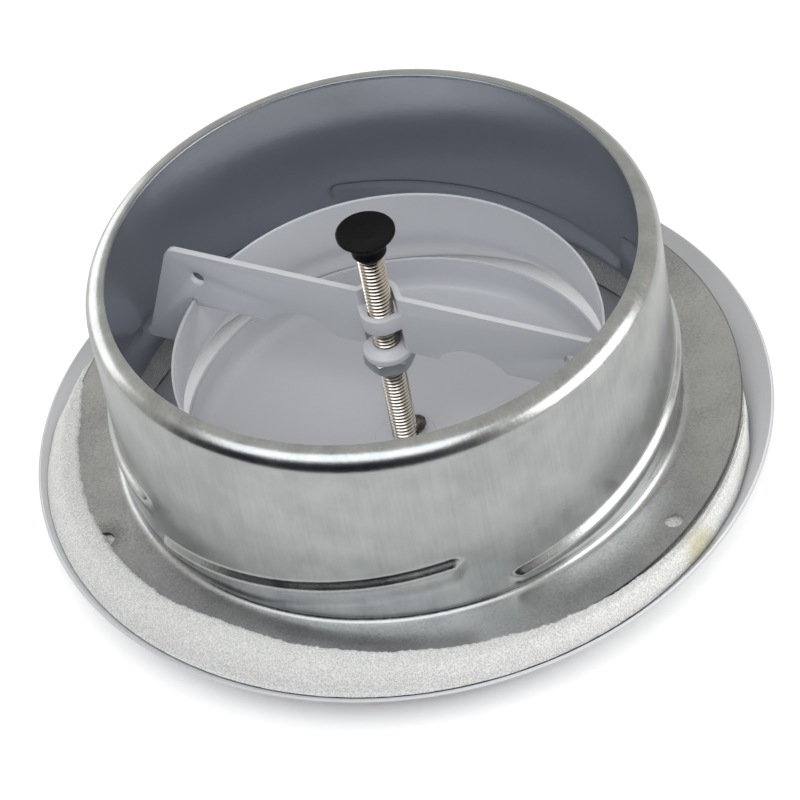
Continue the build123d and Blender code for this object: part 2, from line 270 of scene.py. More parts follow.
def galvanised_steel(light, dark, flange_light, flange_dark, inside, edge_shade, dark_patch):
    material, tree, shader, place = new_material("galvanised_steel")
    normal = place.node.outputs["Normal"]
    bloom = add(tree, "ShaderNodeTexNoise", {"Vector": place, "Scale": cells_of(7.14), "Detail": 3.0})
    upright = add(tree, "ShaderNodeMapping", {"Vector": place, "Scale": (1.0, 1.0, 0.05)})
    lines = add(
        tree,
        "ShaderNodeTexNoise",
        {"Vector": upright.outputs[0], "Scale": cells_of(0.77), "Detail": 2.0},
    )
    grain = add(tree, "ShaderNodeTexNoise", {"Vector": place, "Scale": cells_of(0.5), "Detail": 2.0})
    stain = add(tree, "ShaderNodeTexNoise", {"Vector": place, "Scale": cells_of(22.2), "Detail": 4.0})
    both = add(tree, "ShaderNodeMix", {0: 0.3, 2: bloom.outputs[0], 3: lines.outputs[0]})
    speckled = add(tree, "ShaderNodeMix", {0: 0.45, 2: stain.outputs[0], 3: grain.outputs[0]})
    wall_tone = add(
        tree,
        "ShaderNodeMapRange",
        {"Value": both.outputs[0], "From Min": 0.37, "From Max": 0.63},
    )
    flange_tone = add(
        tree,
        "ShaderNodeMapRange",
        {"Value": speckled.outputs[0], "From Min": 0.36, "From Max": 0.60},
    )
    wall = add(
        tree,
        "ShaderNodeMix",
        {0: wall_tone.outputs[0], 6: linear(dark), 7: linear(light)},
        data_type="RGBA",
    )
    flange = add(
        tree,
        "ShaderNodeMix",
        {0: flange_tone.outputs[0], 6: linear(flange_dark), 7: linear(flange_light)},
        data_type="RGBA",
    )
    # Painted shade: the flange's outer edge is darkened, standing in for the shade in the gap beside the rim.
    level = add(tree, "ShaderNodeMapping", {"Vector": place, "Scale": (1.0, 1.0, 0.0)})
    radius = add(tree, "ShaderNodeVectorMath", {0: level.outputs[0]}, operation="LENGTH")
    uneven = add(
        tree,
        "ShaderNodeMath",
        {0: grain.outputs[0], 1: 0.6 * MM, 2: radius.outputs["Value"]},
        operation="MULTIPLY_ADD",
    )
    edge_shade_mask = add(
        tree,
        "ShaderNodeMapRange",
        {
            "Value": uneven.outputs[0],
            "From Min": shaded_edge_from * MM,
            "From Max": shaded_edge_to * MM,
            "To Max": 0.85,
        },
    )
    # Darker round a point beside the left screw hole
    off = add(tree, "ShaderNodeVectorMath", {0: place, 1: dark_patch_place}, operation="DISTANCE")
    soft_off = add(
        tree,
        "ShaderNodeMath",
        {0: speckled.outputs[0], 1: 8 * MM, 2: off.outputs["Value"]},
        operation="MULTIPLY_ADD",
    )
    dark_patch_mask = add(
        tree,
        "ShaderNodeMapRange",
        {
            "Value": soft_off.outputs[0],
            "From Min": 6.0 * MM,
            "From Max": 9.5 * MM,
            "To Min": 0.8,
            "To Max": 0.0,
        },
    )
    with_edge_shade = add(
        tree,
        "ShaderNodeMix",
        {0: edge_shade_mask.outputs[0], 6: flange.outputs[2], 7: linear(edge_shade)},
        data_type="RGBA",
    )
    marked = add(
        tree,
        "ShaderNodeMix",
        {0: dark_patch_mask.outputs[0], 6: with_edge_shade.outputs[2], 7: linear(dark_patch)},
        data_type="RGBA",
    )
    # Painted light: the collar's inside faces get a lighter colour than its outside.
    faces = add(tree, "ShaderNodeVectorMath", {0: place, 1: normal}, operation="DOT_PRODUCT")
    inside_light_mask = add(
        tree,
        "ShaderNodeMapRange",
        {"Value": faces.outputs["Value"], "From Min": -30 * MM, "From Max": -45 * MM},
    )
    with_inside_light = add(
        tree,
        "ShaderNodeMix",
        {0: inside_light_mask.outputs[0], 6: wall.outputs[2], 7: linear(inside)},
        data_type="RGBA",
    )
    height = add(tree, "ShaderNodeSeparateXYZ", {"Vector": place})
    drawn = add(
        tree,
        "ShaderNodeMapRange",
        {"Value": height.outputs["Z"], "From Min": drawn_from * MM, "From Max": drawn_to * MM},
    )
    colour = add(
        tree,
        "ShaderNodeMix",
        {0: drawn.outputs[0], 6: marked.outputs[2], 7: with_inside_light.outputs[2]},
        data_type="RGBA",
    )
    gloss = add(
        tree,
        "ShaderNodeMapRange",
        {"Value": both.outputs[0], "From Min": 0.35, "From Max": 0.65, "To Min": 0.20, "To Max": 0.27},
    )
    rough = add(tree, "ShaderNodeMix", {0: drawn.outputs[0], 2: 0.50, 3: gloss.outputs[0]})
    fine = add(tree, "ShaderNodeBump", {"Height": grain.outputs[0], "Strength": 0.10, "Distance": 0.0002})
    soft = add(
        tree,
        "ShaderNodeBump",
        {"Height": bloom.outputs[0], "Strength": 0.08, "Distance": 0.0006, "Normal": fine.outputs[0]},
    )
    shader.inputs["Metallic"].default_value = 1.0
    tree.links.new(colour.outputs[2], shader.inputs["Base Color"])
    tree.links.new(rough.outputs[0], shader.inputs["Roughness"])
    tree.links.new(soft.outputs[0], shader.inputs["Normal"])
    return material


galvanised = galvanised_steel(
    light="#bec1c0",
    dark="#acafaf",
    flange_light="#c8c8c7",
    flange_dark="#909096",
    # Painted light: the lighter colour of the collar's inside
    inside="#cbcfd6",
    # Painted shade along the flange's outer edge
    edge_shade="#3a3838",
    dark_patch="#4b4543",
)
print("collar's finish:", galvanised.name, len(galvanised.node_tree.nodes), "nodes")

# %% [markdown]
# ## White paint
# The body, the dish and the crossbar are powder coated in a cool white. Powder coat is a smooth
# plastic film with a faint orange peel, a couple of millimetres from bump to bump, and its tone varies
# a little over about 25 mm. The clear top of the film gives a thin sharper gloss, so a coat is added.

# %% Powder coat
def powder_coat(name, colour_hex):
    material, tree, shader, place = new_material(name)
    peel = add(tree, "ShaderNodeTexNoise", {"Vector": place, "Scale": cells_of(2.38), "Detail": 2.0})
    haze = add(tree, "ShaderNodeTexNoise", {"Vector": place, "Scale": cells_of(25.0), "Detail": 3.0})
    value = add(tree, "ShaderNodeMapRange", {"Value": haze.outputs[0], "To Min": 0.96, "To Max": 1.04})
    tone = add(
        tree,
        "ShaderNodeHueSaturation",
        {"Color": linear(colour_hex), "Value": value.outputs[0]},
    )
    bump = add(tree, "ShaderNodeBump", {"Height": peel.outputs[0], "Strength": 0.06, "Distance": 0.0004})
    tree.links.new(tone.outputs[0], shader.inputs["Base Color"])
    tree.links.new(bump.outputs[0], shader.inputs["Normal"])
    shader.inputs["Roughness"].default_value = 0.34
    shader.inputs["Coat Weight"].default_value = 0.3
    shader.inputs["Coat Roughness"].default_value = 0.15
    return material


white_paint = powder_coat("powder_coat_white", "#d9dbdf")
print("paint:", white_paint.name)

# %% [markdown]
# ## The mounting collar
# One sheet is drawn into a flange, a rounded corner, an upright wall and a curled lip. Four bayonet
# ramps are pressed outwards in the wall. The section is spun, and then every point of the wall near a
# ramp's line is pushed out, most on the line and less beside it, as a press would do it.
# Here and below, sizes are in millimetres, turns in degrees and the ramps' rise in millimetres a degree.

# %% Collar sizes
ceiling = 14.0
lip_top = 63.0
collar_radius = 62.2
collar_sheet = 0.7
flange_radius = 76.4
corner_rounding = 2.5
lip_rounding = 4.0
lip_edge = collar_radius - lip_rounding + 0.3
bar_turn = 147.0
ramp_depth = 1.7
ramp_start = ceiling + 3.8
ramp_rise = 0.14
ramp_zone_top = 33.0
# Each ramp: where it starts, how far it climbs and how far it then stays level, in degrees
ramps = []
for side in (0, 180):
    ramps.append((bar_turn - 40 + side, 63.0, 33.0))
    ramps.append((-151.0 + side, 65.0, 0.0))
print("ramps start at", [start for start, climb, level in ramps], "degrees")

# %% Pressing the ramps
ramp_above = 3.6
ramp_below = 5.0
ramp_below_at_start = 2.2
ramp_widens_over_degrees = 22.0
ramp_ridge = 1.3
ramp_end_length = 2.6
ramp_fullness = 0.85
fine_rows = 0.36
coarse_rows = 4.0


def ramp_share(azimuth, height, ramp):
    """How near a point of the wall is to a ramp's ridge: 1 on it, 0 at its edge or beyond."""
    start, climb, level = ramp
    across = (azimuth - start + 180) % 360 - 180
    # A point up to 60 degrees before the start is beside it, and any other is further along
    if across < -60:
        across += 360
    along = min(max(across, 0.0), climb + level)
    beyond = abs(across - along) * math.radians(1) * collar_radius
    line = ramp_start + ramp_rise * min(along, climb)
    off = height - line - ramp_ridge
    widened = min(1.0, along / ramp_widens_over_degrees)
    wide = ramp_below_at_start + (ramp_below - ramp_below_at_start) * widened
    away = off / (ramp_above - ramp_ridge) if off > 0 else off / (wide + ramp_ridge)
    away = math.hypot(away, beyond / ramp_end_length)
    return (0.5 + 0.5 * math.cos(math.pi * min(1.0, away))) ** ramp_fullness


def pressed(azimuth, height):
    """How far the press has pushed the wall outwards here, in millimetres."""
    return ramp_depth * max(ramp_share(azimuth, height, ramp) for ramp in ramps)


def make_collar():
    skin = rounded(
        [
            (flange_radius - edge_bow, ceiling, 0),
            (collar_radius, ceiling, corner_rounding),
            (collar_radius, lip_top, lip_rounding),
            (lip_edge, lip_top, 0),
        ],
        closed=False,
        steps=8,
    )
    fine = []
    for here, there in zip(skin, skin[1:]):
        wall = abs(here.x - there.x) < 0.01
        piece = divided([here, there], coarse_rows)
        if wall and here.y < ramp_zone_top < there.y:
            split = Vector((here.x, ramp_zone_top))
            piece = divided([here, split], fine_rows) + divided([split, there], coarse_rows)[1:]
        fine += piece[:-1]
    fine.append(skin[-1])
    piece = spun("collar_sheet", sheet_outline(fine, -collar_sheet), steps=500)
    for vertex in piece.data.vertices:
        radius = math.hypot(vertex.co.x, vertex.co.y) / MM
        height = vertex.co.z / MM
        # The push fades out over the rounded corner, so the flange stays flat
        fade = min(1.0, 1 - (radius - collar_radius) / corner_rounding)
        if fade <= 0 or not ceiling < height < ramp_zone_top:
            continue
        push = fade * pressed(math.degrees(math.atan2(vertex.co.y, vertex.co.x)), height)
        factor = (radius + push) / radius
        vertex.co.x *= factor
        vertex.co.y *= factor
    return piece


collar = make_collar()

# %% Screw holes in the flange
hole_circle = 72.4
hole_radius = 2.1
first_hole = -43.0


def cut_holes(piece):
    """Cut the three screw holes through the flange."""
    for i in range(3):
        middle = at(first_hole + 120 * i, hole_circle, ceiling)
        bpy.ops.mesh.primitive_cylinder_add(
            vertices=40,
            radius=hole_radius * MM,
            depth=6 * MM,
            location=middle,
        )
        cutter = bpy.context.object
        bpy.ops.object.select_all(action="DESELECT")
        cut = piece.modifiers.new("hole", "BOOLEAN")
        cut.operation = "DIFFERENCE"
        cut.object = cutter
        bpy.context.view_layer.objects.active = piece
        bpy.ops.object.modifier_apply(modifier=cut.name)
        bpy.data.objects.remove(cutter)


cut_holes(collar)
smooth(collar, 60)
finish_with(collar, galvanised)
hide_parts("mounting_collar")
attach(collar, "collar")

# %% [markdown]
# ## The body
# The outer ring is spun from one sheet: a spigot that goes up into the collar, a flare, a cone, the
# crest that bears on the table and a rim that slopes up round the gasket. The photograph looks down at
# 44 degrees and shows nothing of the rim's outside at the front, so the rim is no steeper than that
# allows. The cone has to touch both round stretches, so its slope is worked out from their centres.

# %% Body
body_sheet = 0.8
spigot_radius = 48.1
spigot_top = 36.7
flare_radius = 12.0
flare_centre = Vector((spigot_radius + flare_radius, 26.7))
crest_radius = 7.0
rim_slope = 47.0
rim_end = Vector((82.35, 11.75))

inside_crest = crest_radius - body_sheet
rim_run = rim_end.y - crest_radius + inside_crest * math.cos(math.radians(rim_slope))
rim_run /= math.tan(math.radians(rim_slope))
crest_centre = Vector((rim_end.x - rim_run - inside_crest * math.sin(math.radians(rim_slope)), crest_radius))
between_centres = crest_centre - flare_centre
cone_slope = math.acos((flare_radius - inside_crest) / between_centres.length)
cone_slope -= math.atan2(between_centres.x, -between_centres.y)
flare_turn = 90 - math.degrees(cone_slope)
print("cone", round(math.degrees(cone_slope), 1), "degrees")
print("crest's centre", [round(v, 2) for v in crest_centre])


def make_body():
    skin = [Vector((spigot_radius, spigot_top)), Vector((spigot_radius, 31.0))]
    skin += arc(flare_centre, flare_radius, 180, 180 + flare_turn, 10)
    skin += arc(crest_centre, inside_crest, 180 + flare_turn, 270 + rim_slope, 22)
    skin.append(rim_end)
    return spun("body_ring", sheet_outline(skin, -body_sheet), steps=300)


body = smooth(make_body())
finish_with(body, white_paint)
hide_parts("valve_body")
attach(body, "valve")

# %% [markdown]
# ## The dish
# The valve's disc is a shallow pressed dish with an upright wall. Its floor is slightly domed, and
# the round pad that the rod is welded to stands up half a millimetre.

# %% Dish
dish_edge = 16.8
dish_depth = 9.3
dish_radius = 48.2
dish_corner = 4.5
dish_sheet = 0.8
dome_rise = 1.2
pad_radius = 6.0
pad_rise = 0.5


def make_dish():
    slope = 2 * math.atan(dome_rise / (dish_radius - dish_corner))
    corner_top = dish_edge - dish_depth + dish_corner
    centre = (dish_radius - dish_corner, corner_top)
    corner_arc = arc(centre, dish_corner, 0, -90 + math.degrees(slope), 10)
    foot = corner_arc[-1]
    floor_radius = foot.x / math.sin(slope)
    floor_centre = (0.0, foot.y + floor_radius * math.cos(slope))
    pad_angle = math.asin((pad_radius + 0.8) / floor_radius)
    floor_end = -90 + math.degrees(pad_angle)
    floor_arc = arc(floor_centre, floor_radius, -90 + math.degrees(slope), floor_end, 14)
    pad = floor_arc[-1].y + pad_rise
    room_side = [Vector((dish_radius, dish_edge - edge_bow)), Vector((dish_radius, dish_edge - 2))]
    room_side += corner_arc + floor_arc[1:]
    room_side.append(Vector((pad_radius + 0.55, floor_arc[-1].y + 0.12)))
    room_side.append(Vector((pad_radius + 0.25, pad - 0.12)))
    room_side += [Vector((pad_radius, pad)), Vector((0, pad))]
    section = sheet_outline(room_side, -dish_sheet)
    # The end on the axis is not rounded, so its bow of points is left out
    ends = (pad, pad + dish_sheet)
    kept = [p for p in section if p.x > 1e-4 or min(abs(p.y - end) for end in ends) < 1e-4]
    start = min(range(len(kept)), key=lambda i: (kept[i].x, kept[i].y))
    ordered = kept[start:] + kept[:start]
    for point in (ordered[0], ordered[-1]):
        point.x = 0.0
    return spun("dish", ordered, steps=256, closed=False), pad + dish_sheet


dish, pad_top = make_dish()
print("dish pad top at", round(pad_top, 3), "mm")
smooth(dish)
finish_with(dish, white_paint)
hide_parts("valve_disc")
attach(dish, "disc")

# %% [markdown]
# ## Stamped and turned small parts
# The crossbar and the hexagon nut keep their CAD shapes. A copy of each is merged, its flat triangles
# are joined, and a bevel rounds the edges as tumbling and paint do. The press has drawn the crossbar's
# three bands close round the rod, so the feet of the bands are moved nearer to it before the bevel.
# The round nut under the crossbar is a turned part, so its domed section is spun.

# %% Softened copies of CAD nodes
def softened(node, name, width, angle=40, reshape=None):
    """A copy of a CAD node with merged points and rounded edges, reshaped first if asked."""
    bpy.ops.object.select_all(action="DESELECT")
    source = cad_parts[node]
    piece = bpy.data.objects.new(name, source.data.copy())
    bpy.context.scene.collection.objects.link(piece)
    piece.select_set(True)
    bpy.context.view_layer.objects.active = piece
    bpy.ops.object.mode_set(mode="EDIT")
    bpy.ops.mesh.select_all(action="SELECT")
    bpy.ops.mesh.remove_doubles(threshold=2e-6)
    bpy.ops.mesh.dissolve_limited(angle_limit=math.radians(0.5))
    bpy.ops.object.mode_set(mode="OBJECT")
    if reshape:
        reshape(piece)
    bevel = piece.modifiers.new("edges", "BEVEL")
    bevel.width = width * MM
    bevel.segments = 2
    bevel.limit_method = "ANGLE"
    bevel.angle_limit = math.radians(angle)
    bpy.ops.object.modifier_apply(modifier=bevel.name)
    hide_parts(node)
    return smooth(piece, 30)


# %% Crossbar
band_foot_from = 5.2
band_foot_to = 7.7
band_foot_moves = 1.4


def bands_closer(piece):
    """Move the feet of the pressed bands along the bar, nearer to the rod."""
    along = heading(bar_turn)
    moved = 0
    for vertex in piece.data.vertices:
        place = vertex.co.dot(along)
        if band_foot_from * MM < abs(place) < band_foot_to * MM:
            vertex.co -= along * math.copysign(band_foot_moves * MM, place)
            moved += 1
    print("points of the bands' feet:", moved)


crossbar = softened("crossbar", "crossbar_strip", 0.22, reshape=bands_closer)
finish_with(crossbar, white_paint)
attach(crossbar, "valve")

# %% Round nut under the crossbar
ring_foot = ceiling + 20.1
ring_corners = [
    (3.0, ring_foot, 0.15),
    (5.6, ring_foot, 0.4),
    (5.6, ring_foot + 1.6, 0.6),
    (3.7, ring_foot + 2.95, 0.4),
    (3.0, ring_foot + 3.0, 0.1),
]
ring_nut = smooth(spun("round_nut", rounded(ring_corners), steps=96))
finish_with(ring_nut, white_paint)
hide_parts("ring_nut")
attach(ring_nut, "valve")

# %% [markdown]
# ## Bright metal of the rod and the nut
# The rod is nickel plated, which is warmer and shinier than zinc. The roots of its thread are painted
# dark brown, a painted shade in its grooves. The hexagon nut is zinc plated, cooler and duller, and its
# bore is painted darker as shade. Both are faintly uneven in patches 2 mm wide, so that their flats
# don't look like mirrors.

# %% Plated finishes
def plated(name, colour_hex, roughness, patch, root_shade_hex, root_radius, unshaded_radius):
    """Bright plating in patches, painted darker as shade inside root_radius and fading to plain by the last
    radius, all in mm.
    """
    material, tree, shader, place = new_material(name)
    wear = add(tree, "ShaderNodeTexNoise", {"Vector": place, "Scale": cells_of(patch), "Detail": 4.0})
    gloss = add(
        tree,
        "ShaderNodeMapRange",
        {"Value": wear.outputs[0], "To Min": roughness * 0.7, "To Max": roughness * 1.4},
    )
    bump = add(tree, "ShaderNodeBump", {"Height": wear.outputs[0], "Strength": 0.1, "Distance": 0.0001})
    shader.inputs["Metallic"].default_value = 1.0
    level = add(tree, "ShaderNodeMapping", {"Vector": place, "Scale": (1.0, 1.0, 0.0)})
    radius = add(tree, "ShaderNodeVectorMath", {0: level.outputs[0]}, operation="LENGTH")
    # Painted shade: darker towards the axis, in the thread's roots and the nut's bore.
    unshaded = add(
        tree,
        "ShaderNodeMapRange",
        {
            "Value": radius.outputs["Value"],
            "From Min": root_radius * MM,
            "From Max": unshaded_radius * MM,
        },
    )
    tone = add(
        tree,
        "ShaderNodeMix",
        {0: unshaded.outputs[0], 6: linear(root_shade_hex), 7: linear(colour_hex)},
        data_type="RGBA",
    )
    tree.links.new(tone.outputs[2], shader.inputs["Base Color"])
    tree.links.new(gloss.outputs[0], shader.inputs["Roughness"])
    tree.links.new(bump.outputs[0], shader.inputs["Normal"])
    return material


# The last three values give the painted shade in the roots and the bore.
nickel = plated("nickel_plated_steel", "#dcd4c9", 0.15, 2.5, "#4a3f36", 2.4, 2.85)
zinc = plated("zinc_plated_steel", "#b3b8bc", 0.36, 2.0, "#6d7074", 2.9, 3.4)
print("plated finishes:", nickel.name, "and", zinc.name)

# %% Hexagon nut
lock_nut = softened("lock_nut", "hexagon_nut", 0.15, angle=25)
finish_with(lock_nut, zinc)
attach(lock_nut, "locking")

# %% [markdown]
# ## The threaded rod
# The rod carries a real M6 thread, 1 mm from turn to turn, with flat crests and 60 degree flanks.
# One pitch of the thread's outline is wound up the axis by the Screw modifier, with spare turns at
# both ends, and the ends are cut off square.

# %% Thread
neck_foot = ceiling + 49.5
rod_foot = pad_top
rod_top = neck_foot + 4.6
thread_pitch = 1.0
thread_root = 2.34
thread_crest = 2.95
spare_turns = 2.5


def make_thread():
    flanks = [(thread_root, 0.0), (thread_root, 0.16), (thread_crest - 0.05, 0.5)]
    flanks += [(thread_crest, 0.54), (thread_crest, 0.62)]
    flanks += [(thread_crest - 0.05, 0.66), (thread_root, 1.0)]
    bpy.ops.object.select_all(action="DESELECT")
    bpy.ops.mesh.primitive_circle_add(vertices=len(flanks), radius=0.01)
    piece = bpy.context.object
    piece.name = "threaded_stud"
    for vertex, (radius, turns) in zip(piece.data.vertices, flanks):
        vertex.co = (radius * MM, 0, (rod_foot + (turns - spare_turns) * thread_pitch) * MM)
    bpy.ops.object.mode_set(mode="EDIT")
    bpy.ops.mesh.select_all(action="DESELECT")
    bpy.ops.object.mode_set(mode="OBJECT")
    for edge in piece.data.edges:
        edge.select = set(edge.vertices) == {0, len(flanks) - 1}
    bpy.ops.object.mode_set(mode="EDIT")
    bpy.ops.mesh.select_mode(type="EDGE")
    bpy.ops.mesh.delete(type="EDGE")
    bpy.ops.object.mode_set(mode="OBJECT")
    wind = piece.modifiers.new("thread", "SCREW")
    wind.angle = 2 * math.pi
    wind.screw_offset = thread_pitch * MM
    wind.iterations = math.ceil((rod_top - rod_foot) / thread_pitch + 2 * spare_turns)
    wind.steps = wind.render_steps = 28
    wind.use_merge_vertices = True
    wind.merge_threshold = 0.00001
    bpy.ops.object.modifier_apply(modifier=wind.name)
    bpy.ops.object.mode_set(mode="EDIT")
    bpy.ops.mesh.select_mode(type="VERT")
    for height, outer in ((rod_foot, False), (rod_top, True)):
        bpy.ops.mesh.select_all(action="SELECT")
        bpy.ops.mesh.bisect(
            plane_co=(0, 0, height * MM),
            plane_no=(0, 0, 1),
            use_fill=True,
            clear_outer=outer,
            clear_inner=not outer,
        )
    bpy.ops.mesh.select_all(action="SELECT")
    bpy.ops.mesh.remove_doubles(threshold=2e-6)
    bpy.ops.mesh.normals_make_consistent(inside=False)
    bpy.ops.object.mode_set(mode="OBJECT")
    return smooth(piece, 25)


stud = make_thread()
finish_with(stud, nickel)
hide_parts("threaded_rod")
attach(stud, "disc")

# %% [markdown]
# ## The weld at the rod's foot
# One lump of weld holds the rod to the dish. It is modelled from a ball that is squashed and
# roughened, and its colour changes between dark brown and dull straw, as on heated steel.

# %% Weld
def heat_tint():
    material, tree, shader, place = new_material("heat_tinted_weld")
    tint = add(tree, "ShaderNodeTexNoise", {"Vector": place, "Scale": cells_of(1.67), "Detail": 4.0})
    ramp = add(tree, "ShaderNodeValToRGB", {"Fac": tint.outputs[0]})
    ramp.color_ramp.elements[0].position = 0.35
    ramp.color_ramp.elements[0].color = linear("#3a302e")
    ramp.color_ramp.elements[1].position = 0.68
    ramp.color_ramp.elements[1].color = linear("#8a7b74")
    bump = add(tree, "ShaderNodeBump", {"Height": tint.outputs[0], "Strength": 0.5, "Distance": 0.0003})
    tree.links.new(ramp.outputs[0], shader.inputs["Base Color"])
    tree.links.new(bump.outputs[0], shader.inputs["Normal"])
    shader.inputs["Metallic"].default_value = 0.8
    shader.inputs["Roughness"].default_value = 0.42
    return material


weld_centre = Vector((3.1, 0, 1.75))
weld_radius = 2.0
weld_half_height = 1.9
weld_turn = 15.0


def make_weld():
    bpy.ops.object.select_all(action="DESELECT")
    bpy.ops.mesh.primitive_ico_sphere_add(subdivisions=4, radius=1.0)
    piece = bpy.context.object
    piece.name = "weld_bead"
    turn = Matrix.Rotation(math.radians(weld_turn), 3, "Z")
    for vertex in piece.data.vertices:
        out = vertex.co.normalized()
        lump = 1 + 0.16 * noise.noise(out * 2.3) + 0.05 * noise.noise(out * 7)
        squashed = Vector((out.x * weld_radius, out.y * weld_radius, max(out.z, -0.9) * weld_half_height))
        local = weld_centre + squashed * lump
        local.z = max(local.z, 0.02)
        vertex.co = (turn @ local + Vector((0, 0, rod_foot))) * MM
    return smooth(piece, 60)


weld = make_weld()
finish_with(weld, heat_tint())
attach(weld, "disc")

# %% [markdown]
# ## The end cap
# A black moulded cap closes the rod. It has a neck, a trumpet-shaped head with a thin edge and a
# slightly hollow top. Moulded plastic of this kind is satin. Its spark texture is too fine to show, so
# it is drawn 0.4 mm wide.

# %% Cap
def moulded_black():
    material, tree, shader, place = new_material("moulded_black_plastic")
    spark = add(tree, "ShaderNodeTexNoise", {"Vector": place, "Scale": cells_of(0.4), "Detail": 2.0})
    bump = add(tree, "ShaderNodeBump", {"Height": spark.outputs[0], "Strength": 0.08, "Distance": 0.0001})
    tree.links.new(bump.outputs[0], shader.inputs["Normal"])
    shader.inputs["Base Color"].default_value = linear("#08090c")
    shader.inputs["Specular IOR Level"].default_value = 0.12
    shader.inputs["Roughness"].default_value = 0.42
    return material


cap_corners = [
    (0, neck_foot + 5.9, 0),
    (2.5, neck_foot + 5.95, 1.0),
    (6.2, neck_foot + 6.38, 0.15),
    (6.55, neck_foot + 6.1, 0.12),
    (6.5, neck_foot + 5.6, 0.2),
    (4.3, neck_foot + 3.9, 1.2),
    (3.85, neck_foot + 2.4, 1.0),
    (3.85, neck_foot, 0.45),
    (2.97, neck_foot, 0),
    (2.97, neck_foot + 4.62, 0),
    (0, neck_foot + 4.62, 0),
]
cap = smooth(spun("rod_cap", rounded(cap_corners, closed=False), steps=96, closed=False), 50)
finish_with(cap, moulded_black())
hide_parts("end_cap")
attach(cap, "cap")

# %% [markdown]
# ## The foam gasket
# A ring of cellular foam lies between the flange and the rim. It was laid in off centre: at the left
# and the front it has swollen over the flange's edge, with a ragged inner border, and at the right
# and the back it keeps under the flange. Its section is spun first, and then each section's points
# are moved to the places that belong to that direction.

# %% Foam
foam_inner = 67.0
foam_top = ceiling - collar_sheet - 0.05
foam_steps = 1080
# The crown is the foam's free upper side, from its outer foot to its border on the flange
crown_rows = 16
crown_top_from = 0.55
crown_rolls_from = 0.82
crown_over_flange = 0.5
lap_swells = 1.2
lap_swells_over = 2.5
beside_flange = 0.35
free_from = 77.2
free_over = 2.2
# Direction in degrees, outer radius, and lap over the flange's edge, in millimetres
foam_shape = [
    (-180, 81.1, 4.4),
    (-162.7, 81.1, 4.8),
    (-146.3, 81.0, 5.4),
    (-130.8, 80.8, 7.2),
    (-110.6, 80.9, 6.2),
    (-98.5, 80.9, 5.1),
    (-84.0, 80.9, 3.4),
    (-70.2, 80.9, 1.5),
    (-60.0, 80.8, 0.6),
    (-46.0, 80.4, 0.0),
    (-34.0, 79.5, 0.0),
    (-22.0, 78.3, 0.0),
    (-13.0, 77.0, 0.0),
    (-4.0, 75.4, 0.0),
    (140.0, 75.4, 0.0),
    (149.0, 77.4, 0.2),
    (155.0, 79.0, 1.2),
    (166.2, 80.7, 3.6),
    (180, 81.1, 4.4),
]


def foam_edges(azimuth):
    """Outer radius and lap over the flange in one direction, eased from entry to entry."""
    for (a, outer_a, lap_a), (b, outer_b, lap_b) in zip(foam_shape, foam_shape[1:]):
        if a <= azimuth <= b:
            share = (azimuth - a) / (b - a)
            eased = share * share * (3 - 2 * share)
            return outer_a + (outer_b - outer_a) * eased, lap_a + (lap_b - lap_a) * eased


def channel_height(radius):
    """Height of the body's inside where it rises to the rim."""
    return rim_end.y - (rim_end.x - radius) * math.tan(math.radians(rim_slope))


def foam_section(azimuth):
    """Outline of the foam in one direction, always with the same number of points."""
    outer, lap = foam_edges(azimuth)
    along = heading(azimuth)
    ragged = 0.30 * noise.noise(along * 30) + 0.16 * noise.noise(along * 90) + 0.45 * noise.noise(along * 230)
    beside = flange_radius + beside_flange
    edge = min(beside - lap - ragged * min(1.0, lap), outer - 0.8)
    free = min(1.0, max(0.0, (outer - free_from) / free_over))
    rest = foam_top + (ceiling + 0.04 - foam_top) * min(1.0, free * 2)
    stand = foam_top + (ceiling + crown_over_flange - foam_top) * free
    stand += lap_swells * lap / (lap + lap_swells_over)
    foot = min(channel_height(outer) + 0.35, foam_top - 1.5)
    section = [Vector((foam_inner, foam_top)), Vector((foam_inner, foam_top - 4.0))]
    section += arc(crest_centre, inside_crest - 0.3, 180 + flare_turn, 270 + rim_slope, 14)
    for k in range(crown_rows + 1):
        t = k / crown_rows
        radius = outer + (edge - outer) * t
        rise = math.sin(math.pi / 2 * min(1.0, t / crown_top_from)) ** 0.9
        height = foot + (stand - foot) * rise
        if t > crown_rolls_from:
            rolled = (t - crown_rolls_from) / (1 - crown_rolls_from)
            height = rest + (height - rest) * math.sqrt(max(0.0, 1 - rolled**2))
        if k < crown_rows:
            height += 0.10 * free * noise.noise(Vector((along.x * 42, along.y * 42, radius * 0.8)))
        section.append(Vector((radius, height)))
    under = max(edge, beside) if free > 0.5 else edge - 0.02
    section.append(Vector((under, rest - 0.01)))
    section.append(Vector((under - 0.02, foam_top - 0.005)))
    return section


def make_foam():
    base = foam_section(-160)
    piece = spun("foam_ring", base, steps=foam_steps)
    place = {(round(p.x, 3), round(p.y, 3)): i for i, p in enumerate(base)}
    sections = {}
    for vertex in piece.data.vertices:
        step = round(math.degrees(math.atan2(vertex.co.y, vertex.co.x)) * foam_steps / 360)
        azimuth = step * 360 / foam_steps
        here = Vector((math.hypot(vertex.co.x, vertex.co.y), vertex.co.z)) / MM
        i = place.get((round(here.x, 3), round(here.y, 3)))
        if i is None:
            i = min(range(len(base)), key=lambda k: (base[k] - here).length)
        if step not in sections:
            sections[step] = foam_section(azimuth)
        point = sections[step][i]
        vertex.co = at(azimuth, point.x, point.y)
    print("foam sections:", len(sections), "of", len(base), "points")
    return smooth(piece, 60)


glue_place = at(-44, 81.0, 11.0)


